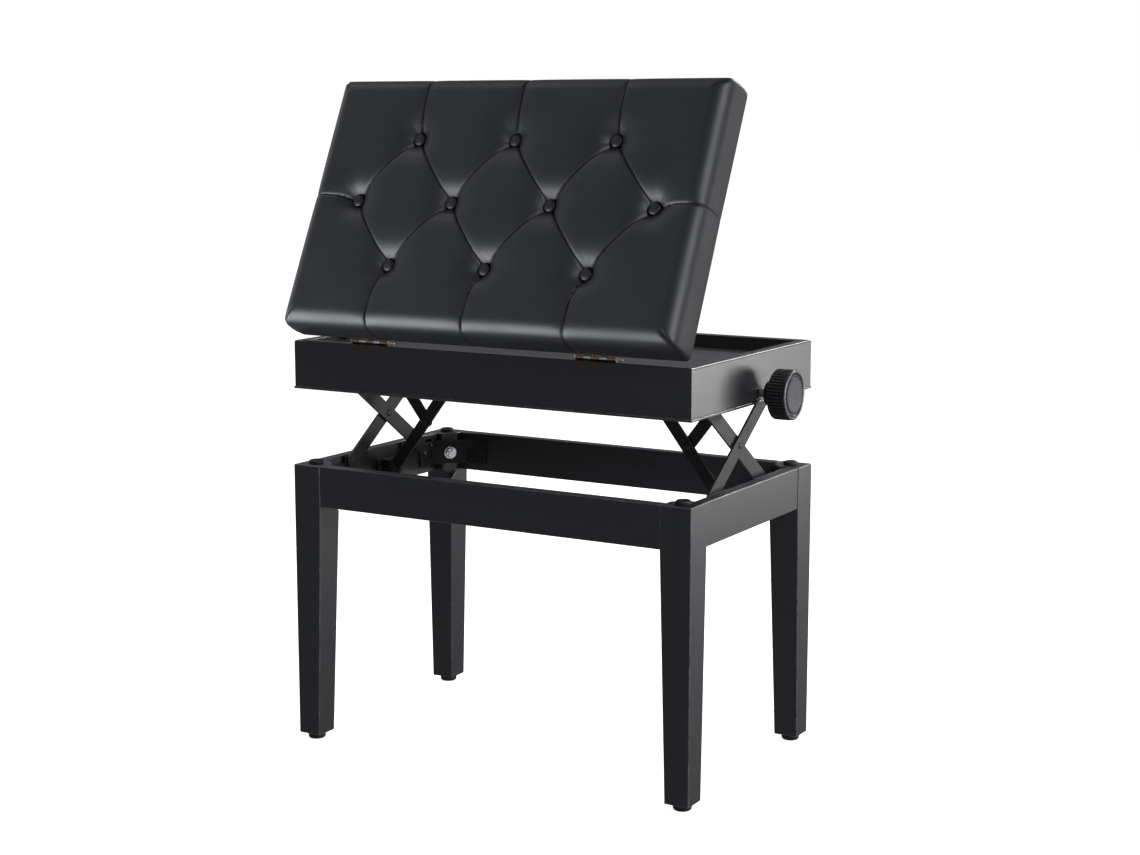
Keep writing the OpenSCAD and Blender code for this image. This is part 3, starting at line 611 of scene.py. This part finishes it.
class BENCH_OT_base_hardware(bpy.types.Operator):
    """Makes the steel plates, brackets, rails and fasteners of the base"""
    bl_idname = "bench.base_hardware"
    bl_label = "Base hardware"

    def execute(self, context):
        radius = settings().steel_radius
        soften_all(["corner_plates", "lower_brackets", "lower_rails"], steel(), radius)
        soften_all(["frame_screws", "base_pivot_pins"], blackened(), FASTENER_EDGE, 1)
        soften_all(["corner_washers", "corner_nuts", "hanger_bolts"], zinc(), radius)
        return {"FINISHED"}


class BENCH_OT_box(bpy.types.Operator):
    """Makes the storage box: its mitred panels, its bottom moulding and its tray"""
    bl_idname = "bench.box"
    bl_label = "Storage box"

    def execute(self, context):
        soften_all(["front_panel", "rear_panel", "bottom_trim"], lacquer_along(0), BOX_EDGE)
        soften_all(["left_panel", "right_panel"], lacquer_along(1), BOX_EDGE)
        soften_all(["tray"], get("matt_board", matt_board), HARDWARE_EDGE, 1)
        return {"FINISHED"}


class BENCH_OT_box_hardware(bpy.types.Operator):
    """Makes the rails, hangers, bearing and fasteners of the storage box"""
    bl_idname = "bench.box_hardware"
    bl_label = "Box hardware"

    def execute(self, context):
        radius = settings().steel_radius
        soften_all(["upper_brackets", "upper_rails", "end_bearing", "screw_collars"], steel(), radius)
        soften_all(["box_screws", "box_pivot_pins", "stay_stud"], blackened(), FASTENER_EDGE, 1)
        soften_all(["screw_bush"], get("black_nylon", moulded, (0.018, 0.018, 0.019), 0.4), radius)
        return {"FINISHED"}


class BENCH_OT_lift(bpy.types.Operator):
    """Makes the arms, rivets and trunnion nuts of the lift"""
    bl_idname = "bench.lift"
    bl_label = "Lift"

    def execute(self, context):
        radius = settings().steel_radius
        for side in ("left", "right"):
            arms = [f"{side}_{kind}_arm" for kind in ("long", "half", "outer", "inner")]
            soften_all(arms + [side + "_nut"], steel(), radius)
            soften_all([side + "_arm_rivet", side + "_scissor_rivet"], blackened(), FASTENER_EDGE, 1)
        return {"FINISHED"}


class BENCH_OT_lead_screw(bpy.types.Operator):
    """Makes the lead screw, threaded left-handed and right-handed under the two nuts"""
    bl_idname = "bench.lead_screw"
    bl_label = "Lead screw"

    def execute(self, context):
        make_lead_screw()
        return {"FINISHED"}


THREAD_LEAD = 8 * MM
THREAD_STARTS = 2
THREAD_TURNS = 11
THREAD_DEPTH = 0.9 * MM
THREAD_STEPS = 28
THREAD_RUN_IN = 8 * MM


def thread(x0, radius, hand):
    """A threaded length of a rod about the X axis, from x0 towards +X."""
    pitch = THREAD_LEAD / THREAD_STARTS
    root = radius - THREAD_DEPTH
    bm = bmesh.new()
    profile = [(0, root), (0.18, root), (0.36, radius), (0.82, radius)]
    points = [((i + share) * pitch, r) for i in range(THREAD_STARTS) for share, r in profile]
    points.append((THREAD_LEAD, root))
    ring = [bm.verts.new((x, r, 0)) for x, r in points]
    edges = [bm.edges.new(pair) for pair in zip(ring, ring[1:])]
    bmesh.ops.spin(bm, geom=ring + edges, cent=(0, 0, 0), axis=(hand, 0, 0),
                   angle=math.tau * THREAD_TURNS, dvec=(THREAD_LEAD / THREAD_STEPS, 0, 0),
                   steps=THREAD_TURNS * THREAD_STEPS, use_duplicate=False)
    bmesh.ops.remove_doubles(bm, verts=bm.verts, dist=0.01 * MM)
    bmesh.ops.translate(bm, verts=bm.verts, vec=(x0, 0, 0))
    return bm


def make_lead_screw():
    low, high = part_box("lead_screw")
    radius = (high.z - low.z) / 2
    core = radius - THREAD_DEPTH
    nut_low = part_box("left_nut")[0].x
    start = nut_low - THREAD_RUN_IN
    length = (THREAD_TURNS + 1) * THREAD_LEAD
    centre = (nut_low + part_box("right_nut")[1].x) / 2
    other = 2 * centre - start - length
    shank = radius - 0.05 * MM
    edge = 0.6 * MM
    profile = [(low.x, 0), (low.x, shank - edge), (low.x + edge, shank)]
    for at in (start, other):
        end = at + length
        profile += [(at, shank), (at + edge, core), (end - edge, core), (end, shank)]
    profile += [(high.x - edge, shank), (high.x, shank - edge), (high.x, 0)]
    bm = lathe(profile, 36)
    for at, hand in ((start, -1), (other, 1)):
        join(bm, thread(at, radius, hand))
    bmesh.ops.translate(bm, verts=bm.verts, vec=(0, SCREW_AXIS.y, SCREW_AXIS.z))
    finished("lead_screw_piece", bm, "screw", zinc(), ["lead_screw"])


class BENCH_OT_knob(bpy.types.Operator):
    """Makes the ribbed height knob"""
    bl_idname = "bench.knob"
    bl_label = "Knob"

    def execute(self, context):
        make_knob()
        return {"FINISHED"}


KNOB_RIBS = 46
RIB_STEPS = 8
RIB_DEPTH = 1.9 * MM
GRIP_LENGTH = 24 * MM
HUB_RADIUS = 15 * MM


def make_knob():
    low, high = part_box("knob")
    grip = (high.z - low.z) / 2
    cap_low, cap_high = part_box("knob_cap")
    mouth = (cap_high.z - cap_low.z) / 2 + 0.1 * MM
    back, front = high.x - GRIP_LENGTH, high.x
    bm = bmesh.new()
    # the ribbed grip, drawn forwards through its stations as (x, share of the rib depth, inset)
    made = bmesh.ops.create_circle(bm, segments=KNOB_RIBS * RIB_STEPS, radius=1)
    bmesh.ops.rotate(bm, verts=bm.verts, cent=(0, 0, 0), matrix=Matrix.Rotation(math.pi / 2, 3, "Y"))
    ring = made["verts"]
    stations = [
        (back, 0, 3.4 * MM), (back + 0.3 * MM, 0, 2.2 * MM), (back + 1.2 * MM, 0, 1.5 * MM),
        (back + 1.3 * MM, 0.7, 0.35 * MM), (back + 2.1 * MM, 1, 0),
        (front - 4.4 * MM, 1, 0), (front - 3.7 * MM, 0.7, 0.35 * MM), (front - 3.5 * MM, 0, 1.3 * MM),
        (front - 2.6 * MM, 0, 1.3 * MM), (front - 2.2 * MM, 0, 0.5 * MM),
        (front - 0.9 * MM, 0, 0.5 * MM), (front - 0.25 * MM, 0, 1.1 * MM), (front, 0, 2.0 * MM),
        (front - 0.1 * MM, 0, 3.2 * MM), (front - 0.8 * MM, 0, grip - mouth - 0.5 * MM),
        (front - 1.4 * MM, 0, grip - mouth), (front - 3.0 * MM, 0, grip - mouth),
    ]
    for number, (x, share, inset) in enumerate(stations):
        if number:
            last = set(ring)
            edges = [e for e in bm.edges if e.verts[0] in last and e.verts[1] in last]
            grown = bmesh.ops.extrude_edge_only(bm, edges=edges)["geom"]
            ring = [g for g in grown if isinstance(g, bmesh.types.BMVert)]
        for vert in ring:
            angle = math.atan2(vert.co.z, vert.co.y)
            wave = 0.5 + 0.5 * math.cos(angle * KNOB_RIBS)
            radius = grip - inset - share * RIB_DEPTH * (1 - min(1.0, 1.7 * wave))
            vert.co = (x, radius * math.cos(angle), radius * math.sin(angle))
    bmesh.ops.holes_fill(bm, edges=[e for e in bm.edges if e.is_boundary], sides=0)
    bmesh.ops.recalc_face_normals(bm, faces=bm.faces)
    hub = HUB_RADIUS
    join(bm, lathe([
        (low.x, 0), (low.x, hub - 1.4 * MM), (low.x + 0.5 * MM, hub - 0.5 * MM),
        (low.x + 1.5 * MM, hub), (back - 2.2 * MM, hub), (back - 1.2 * MM, hub + 0.4 * MM),
        (back - 0.4 * MM, hub + 1.6 * MM), (back + 0.2 * MM, hub + 3 * MM), (back + 0.2 * MM, 0),
    ], 64))
    bmesh.ops.translate(bm, verts=bm.verts, vec=(0, SCREW_AXIS.y, SCREW_AXIS.z))
    material = get("knob_plastic", moulded, settings().plastic, 0.28)
    finished("knob_piece", bm, "screw", material, ["knob"], smooth=50)


class BENCH_OT_knob_cap(bpy.types.Operator):
    """Makes the ringed cap in the face of the knob"""
    bl_idname = "bench.knob_cap"
    bl_label = "Knob cap"

    def execute(self, context):
        low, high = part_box("knob_cap")
        rim = (high.z - low.z) / 2
        face = high.x
        back = low.x
        profile = [
            (back, 0), (back, rim), *arc(face - 1.4 * MM, rim - 0.5 * MM, 0.5 * MM, 90, 0, 4)[:-1],
            (face - 0.9 * MM, rim - 1.4 * MM), (face - 1.5 * MM, rim - 2.2 * MM),
            (face - 1.5 * MM, rim - 3.0 * MM),
            *arc(face - 0.9 * MM, rim - 4.2 * MM, 0.9 * MM, 110, 0, 5),
            (face, rim - 5.6 * MM), (face - 0.2 * MM, rim - 6.2 * MM),
            (face - 0.5 * MM, rim * 0.5), (face - 0.6 * MM, 0),
        ]
        bm = lathe(profile, 96)
        bmesh.ops.translate(bm, verts=bm.verts, vec=(0, SCREW_AXIS.y, SCREW_AXIS.z))
        material = get("knob_cap_gloss", moulded, scaled(settings().plastic, 1.8), 0.5, 0.00001, 0.25)
        finished("knob_cap_piece", bm, "screw", material, ["knob_cap"], smooth=50)
        return {"FINISHED"}


# ---- seat ----

def button_places():
    """Centres (x, v) of the buttons in the closed lid's axes: rows of three, four and three."""
    radius = 7.5 * MM
    span = BUTTONS_HIGH - BUTTONS_LOW
    across = (span.x - 2 * radius) / 3
    along = (span.y - 2 * radius) / 2
    middle = (BUTTONS_LOW + BUTTONS_HIGH) / 2
    return [[(middle.x + (i - (count - 1) / 2) * across, middle.y + row * along) for i in range(count)]
            for row, count in ((-1, 3), (0, 4), (1, 3))]


def pleat_lines():
    """Straight lengths of the pleats on the flat leather, as (start, end, pulled start, pulled end)."""
    front, middle, rear = button_places()
    out = 0.2
    drift = seat_settings().pleat_drift
    lines = []
    for i, place_m in enumerate(front):
        lines += [(middle[i], place_m, True, True), (middle[i + 1], place_m, True, True)]
        lines += [(middle[i], rear[i], True, True), (middle[i + 1], rear[i], True, True)]
        x, v = place_m
        bend = [(x, v), (x - 0.55 * drift, v - 16 * MM),
                (x - 0.95 * drift, v - 36 * MM), (x - drift, v - out)]
        lines += [(a, b, a == bend[0], False) for a, b in zip(bend, bend[1:])]
        x, v = rear[i]
        lines += [((x, v), (x + 2 * MM, v + 30 * MM), True, False),
                  ((x + 2 * MM, v + 30 * MM), (x + 4 * MM, v + out), False, False)]
    for (x, v), way in ((middle[0], -1), (middle[-1], 1)):
        lines += [((x, v), (x + way * 26 * MM, v + 3.5 * MM), True, False),
                  ((x + way * 26 * MM, v + 3.5 * MM), (x + way * out, v + 4 * MM), False, False)]
    return lines


def nearest_on_lines(points, lines):
    """For each point: distance to the nearest pleat, the nearest place on it, and the pull there."""
    reach = 18 * MM
    best = np.full(len(points), 1e3)
    spot = points.copy()
    pull = np.zeros(len(points))
    for start, end, pulled_start, pulled_end in lines:
        a, b = np.array(start), np.array(end)
        length = np.linalg.norm(b - a)
        along = np.clip((points - a) @ (b - a) / length ** 2, 0, 1)
        foot = a + along[:, None] * (b - a)
        distance = np.linalg.norm(points - foot, axis=1)
        here = np.zeros(len(points))
        if pulled_start:
            here += np.exp(-along * length / reach)
        if pulled_end:
            here += np.exp(-(1 - along) * length / reach)
        closer = distance < best
        best[closer], spot[closer], pull[closer] = distance[closer], foot[closer], here[closer]
    return best, spot, pull


def side_profile():
    """The leather's section from the top's edge round and under the board, as rows of
    (length along it, outward offset, height, outward part and upward part of its normal)."""
    s = seat_settings()
    top, low = s.top_radius, s.low_radius
    step = 1.3 * s.mesh_step
    rows = []

    def arc_rows(radius, out, height, start, end, steps):
        for i in range(steps + 1):
            t = math.radians(start + (end - start) * i / steps)
            outward, upward = math.cos(t), math.sin(t)
            rows.append((out + radius * outward, height + radius * upward, outward, upward))

    under = BOARD_LOW.z - 0.25 * MM
    arc_rows(top, 0, SEAT_HIGH.z - top, 90, 0, max(6, round(top * math.pi / 2 / step)))
    side = SEAT_HIGH.z - top - low - under
    count = max(4, round(side / (2 * step)))
    for i in range(1, count):
        bulge = 0.8 * MM * math.sin(math.pi * i / count)
        rows.append((top + bulge, SEAT_HIGH.z - top - side * i / count, 1, 0))
    arc_rows(low, top - low, under + low, 0, -90, 5)
    inner = top - low - s.hem
    board = BOARD_HIGH.x - (SEAT_HIGH.x - top) + 0.1 * MM
    top_gap = BOARD_HIGH.z + 0.05 * MM
    rows += [(top - low - s.hem / 2, under, 0, -1), (inner, under, 0, -1), (inner, under + 0.22 * MM, 0, -1),
             (board, under + 0.22 * MM, 0, -1), (board, top_gap, 0, 1)]
    table, length = [(0.0, *rows[0])], 0.0
    for before, row in zip(rows, rows[1:]):
        length += max(0.2 * MM, math.hypot(row[0] - before[0], row[1] - before[1]))
        table.append((length, *row))
    return np.array(table)


def flat_top():
    """Half width, half depth and middle v of the seat's top, inside its rounded edge."""
    radius = seat_settings().top_radius
    half_v = (SEAT_HIGH.y - SEAT_LOW.y) / 2 - radius
    return SEAT_HIGH.x - radius, half_v, (SEAT_LOW.y + SEAT_HIGH.y) / 2


SQUARENESS = 8


def leather_surface(flat, profile):
    """Places flat leather (s, t) on the cushion. Gives points, normals and the plan's distances out."""
    half_x, half_v, middle_v = flat_top()
    across, along = flat[:, 0], flat[:, 1] - middle_v
    a = np.maximum(np.abs(across) - half_x, 0)
    b = np.maximum(np.abs(along) - half_v, 0)
    u = np.maximum(a, b)
    safe = np.maximum(u, 1e-9)
    p, q = a / safe, b / safe
    shrink = np.maximum((p ** SQUARENESS + q ** SQUARENESS) ** (1 / SQUARENESS), 1e-9)
    p, q = p / shrink, q / shrink
    out, height, outward, upward = (np.interp(u, profile[:, 0], profile[:, i]) for i in (1, 2, 3, 4))
    sign_x, sign_v = np.sign(across), np.sign(along)
    x = sign_x * (np.minimum(np.abs(across), half_x) + out * p)
    v = sign_v * (np.minimum(np.abs(along), half_v) + out * q) + middle_v
    crown = seat_settings().crown * (1 - np.clip(across / half_x, -1, 1) ** 2)
    crown = crown * (1 - np.clip(along / half_v, -1, 1) ** 2)
    points = np.stack([x, v, height + crown], 1)
    tilt = np.maximum(np.hypot(p, q), 1e-9)
    normals = np.stack([outward * sign_x * p / tilt, outward * sign_v * q / tilt, upward], 1)
    normals[u <= 0] = (0, 0, 1)
    normals /= np.maximum(np.linalg.norm(normals, axis=1), 1e-9)[:, None]
    return points, normals, a, b, u


def make_seat_leather():
    s = seat_settings()
    profile = side_profile()
    step = s.mesh_step * 1
    half_x, half_v, middle_v = flat_top()
    rings = profile[1:, 0]

    def lines_of(half, centre):
        count = 2 * round(half / step)
        inner = np.linspace(-half, half, count + 1)
        return centre + np.concatenate([-half - rings[::-1], inner, half + rings])

    xs, vs = lines_of(half_x, 0.0), lines_of(half_v, middle_v)
    bm = bmesh.new()
    bmesh.ops.create_grid(bm, x_segments=len(xs) - 1, y_segments=len(vs) - 1, size=0.5)
    mesh = bpy.data.meshes.new("seat_leather")
    bm.to_mesh(mesh)
    bm.free()
    place_m = np.zeros(len(mesh.vertices) * 3)
    mesh.vertices.foreach_get("co", place_m)
    place_m = place_m.reshape(-1, 3)
    column = np.rint((place_m[:, 0] + 0.5) * (len(xs) - 1)).astype(int)
    row = np.rint((place_m[:, 1] + 0.5) * (len(vs) - 1)).astype(int)
    flat = np.stack([xs[column], vs[row]], 1)
    # the leather's faces are drawn onto the pleats that pass near them
    lines = pleat_lines()
    distance, spot, _ = nearest_on_lines(flat, lines)
    near = np.clip(1.6 - distance / (0.6 * step), 0, 1)[:, None]
    flat = flat + (spot - flat) * near * (distance < 1.2 * step)[:, None]
    distance, _, pull = nearest_on_lines(flat, lines)
    points, normals, a, b, u = leather_surface(flat, profile)
    # dimples, with painted shade darkest under and just round each button
    sunk = np.zeros(len(points))
    crease_shade = np.zeros(len(points))
    for x, v in (c for line in button_places() for c in line):
        dx, dv = points[:, 0] - x, points[:, 1] - v
        r = np.hypot(dx, dv)
        soft = np.hypot(r, 3.5 * MM)
        ripple = 1 + 0.01 * np.cos(s.wrinkles * np.arctan2(dv, dx) + 40 * x) * np.clip(r / (9 * MM), 0, 1)
        sunk += s.dimple_depth * np.exp(-soft / s.dimple_reach) * ripple
        crease_shade = np.maximum(crease_shade, np.exp(-((r / (8.4 * MM)) ** 4)))
    # pleats, fading out under the board
    slack = np.clip(1.15 - u / profile[-6, 0], 0, 1)
    on_side = np.clip(u / s.top_radius, 0, 1)
    depth = (s.pleat_depth * (1 - 0.75 * on_side) + s.pleat_pull * pull) * slack
    sunk += depth * np.exp(-distance / s.pleat_reach)
    fold = s.fold_depth * np.exp(-((distance / s.fold_width) ** 2)) * slack
    mitre = np.abs(a - b) / math.sqrt(2)
    seam = np.clip(u / (6 * MM), 0, 1) * np.clip(2 - mitre / (6 * MM), 0, 1) * slack
    seam *= np.minimum(a, b) > 0
    fold = np.maximum(fold, 1.4 * s.fold_depth * np.exp(-((mitre / (1.8 * s.fold_width)) ** 2)) * seam)
    sunk += fold
    # painted shade along the pleats and the corner seams
    crease_shade = np.maximum(crease_shade, np.exp(-((distance / (0.9 * MM)) ** 2)) * slack)
    crease_shade = np.maximum(crease_shade, np.exp(-((mitre / (1.0 * MM)) ** 2)) * seam)
    creased = (distance < 0.05 * MM) | (mitre < 0.05 * MM) & (seam > 0)
    points = points - normals * sunk[:, None]
    mesh.vertices.foreach_set("co", points.ravel())
    layer = mesh.attributes.new(CREASE_SHADE, "FLOAT", "POINT")
    layer.data.foreach_set("value", crease_shade)
    bm = bmesh.new()
    bm.from_mesh(mesh)
    # edges follow the pleats and the corner seams, so that their folds are sharp
    bmesh.ops.connect_verts(bm, verts=[v for v, on in zip(bm.verts, creased) if on])
    bmesh.ops.holes_fill(bm, edges=[e for e in bm.edges if e.is_boundary], sides=0)
    bmesh.ops.recalc_face_normals(bm, faces=bm.faces)
    bm.to_mesh(mesh)
    bm.free()
    mesh.transform(LID)
    for face in mesh.polygons:
        face.use_smooth = True
    mesh.set_sharp_from_angle(angle=math.radians(70))
    mesh.materials.append(get("black_leather", leather))
    seat = bpy.data.objects.new("seat_leather", mesh)
    bpy.context.scene.collection.objects.link(seat)
    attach(seat, "lid")
    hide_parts("cushion", "foam_pad")
    light_leather(seat)


class BENCH_OT_seat(bpy.types.Operator):
    """Makes the tufted leather seat"""
    bl_idname = "bench.seat"
    bl_label = "Seat leather"

    def execute(self, context):
        make_seat_leather()
        return {"FINISHED"}


class BENCH_OT_buttons(bpy.types.Operator):
    """Makes the leather-covered buttons"""
    bl_idname = "bench.buttons"
    bl_label = "Buttons"

    def execute(self, context):
        s = seat_settings()
        r, rise = s.button_radius, s.button_rise
        top = BUTTONS_HIGH.z + 4.3 * MM
        profile = [(-rise, 0), (-rise, 0.84 * r), (-0.8 * rise, 0.95 * r), (-0.62 * rise, r),
                   (-0.46 * rise, 0.99 * r), (-0.33 * rise, 0.93 * r), (-0.22 * rise, 0.82 * r),
                   (-0.13 * rise, 0.66 * r), (-0.06 * rise, 0.47 * r), (-0.015 * rise, 0.25 * r), (0, 0)]
        upright = Matrix.Rotation(-math.pi / 2, 3, "Y")
        bm = bmesh.new()
        for x, v in (c for line in button_places() for c in line):
            button = lathe(profile, 36)
            bmesh.ops.rotate(button, verts=button.verts, cent=(0, 0, 0), matrix=upright)
            bmesh.ops.translate(button, verts=button.verts, vec=(x, v, top))
            join(bm, button)
        bmesh.ops.transform(bm, matrix=LID, verts=bm.verts)
        material = get("black_leather", leather)
        buttons = finished("covered_buttons", bm, "lid", material, ["buttons"], 60, False)
        light_leather(buttons)
        return {"FINISHED"}


class BENCH_OT_lid_board(bpy.types.Operator):
    """Makes the board under the seat"""
    bl_idname = "bench.lid_board"
    bl_label = "Lid board"

    def execute(self, context):
        soften_all(["lid_board"], get("matt_board", matt_board), 0.3 * MM, 1)
        return {"FINISHED"}


class BENCH_OT_hinges(bpy.types.Operator):
    """Makes the two hinges: their leaves, pins and screws"""
    bl_idname = "bench.hinges"
    bl_label = "Hinges"

    def execute(self, context):
        brass = get("worn_brass", plated, (0.42, 0.27, 0.16), (0.16, 0.09, 0.05), 0.35, 900)
        nickel = get("nickel_plate", plated, (0.72, 0.69, 0.64), (0.45, 0.40, 0.33), 0.22, 700)
        soften_all(["hinge_box_leaves"], brass, HARDWARE_EDGE)
        soften_all(["hinge_lid_leaves", "hinge_pins", "lid_screws"], nickel, HARDWARE_EDGE)
        return {"FINISHED"}


class BENCH_OT_stay(bpy.types.Operator):
    """Makes the folding stay and its slotted track"""
    bl_idname = "bench.stay"
    bl_label = "Lid stay"

    def execute(self, context):
        soften_all(["stay_track", "stay_arm"], steel(), HARDWARE_EDGE)
        return {"FINISHED"}


OPERATORS = (
    BENCH_OT_stage, BENCH_OT_legs, BENCH_OT_aprons, BENCH_OT_feet, BENCH_OT_base_hardware, BENCH_OT_box,
    BENCH_OT_box_hardware, BENCH_OT_lift, BENCH_OT_lead_screw, BENCH_OT_knob, BENCH_OT_knob_cap,
    BENCH_OT_seat, BENCH_OT_buttons, BENCH_OT_lid_board, BENCH_OT_hinges, BENCH_OT_stay,
)


class BENCH_PT_panel(bpy.types.Panel):
    """Lists the bench's settings and the operators that make its pieces"""
    bl_idname = "BENCH_PT_panel"
    bl_label = "Piano Bench"
    bl_space_type = "VIEW_3D"
    bl_region_type = "UI"
    bl_category = "Bench"

    def draw(self, context):
        for group in (context.scene.bench_settings, context.scene.bench_seat):
            column = self.layout.column()
            for name in group.__annotations__:
                column.prop(group, name)
        column = self.layout.column()
        for operator in OPERATORS:
            column.operator(operator.bl_idname)


CLASSES = (BenchSettings, SeatSettings, *OPERATORS, BENCH_PT_panel)


def register():
    for cls in CLASSES:
        bpy.utils.register_class(cls)
    bpy.types.Scene.bench_settings = PointerProperty(type=BenchSettings)
    bpy.types.Scene.bench_seat = PointerProperty(type=SeatSettings)


def unregister():
    del bpy.types.Scene.bench_seat
    del bpy.types.Scene.bench_settings
    for cls in reversed(CLASSES):
        bpy.utils.unregister_class(cls)


def main():
    register()
    for operator in OPERATORS:
        group, name = operator.bl_idname.split(".")
        getattr(getattr(bpy.ops, group), name)()


if __name__ == "__main__":
    main()
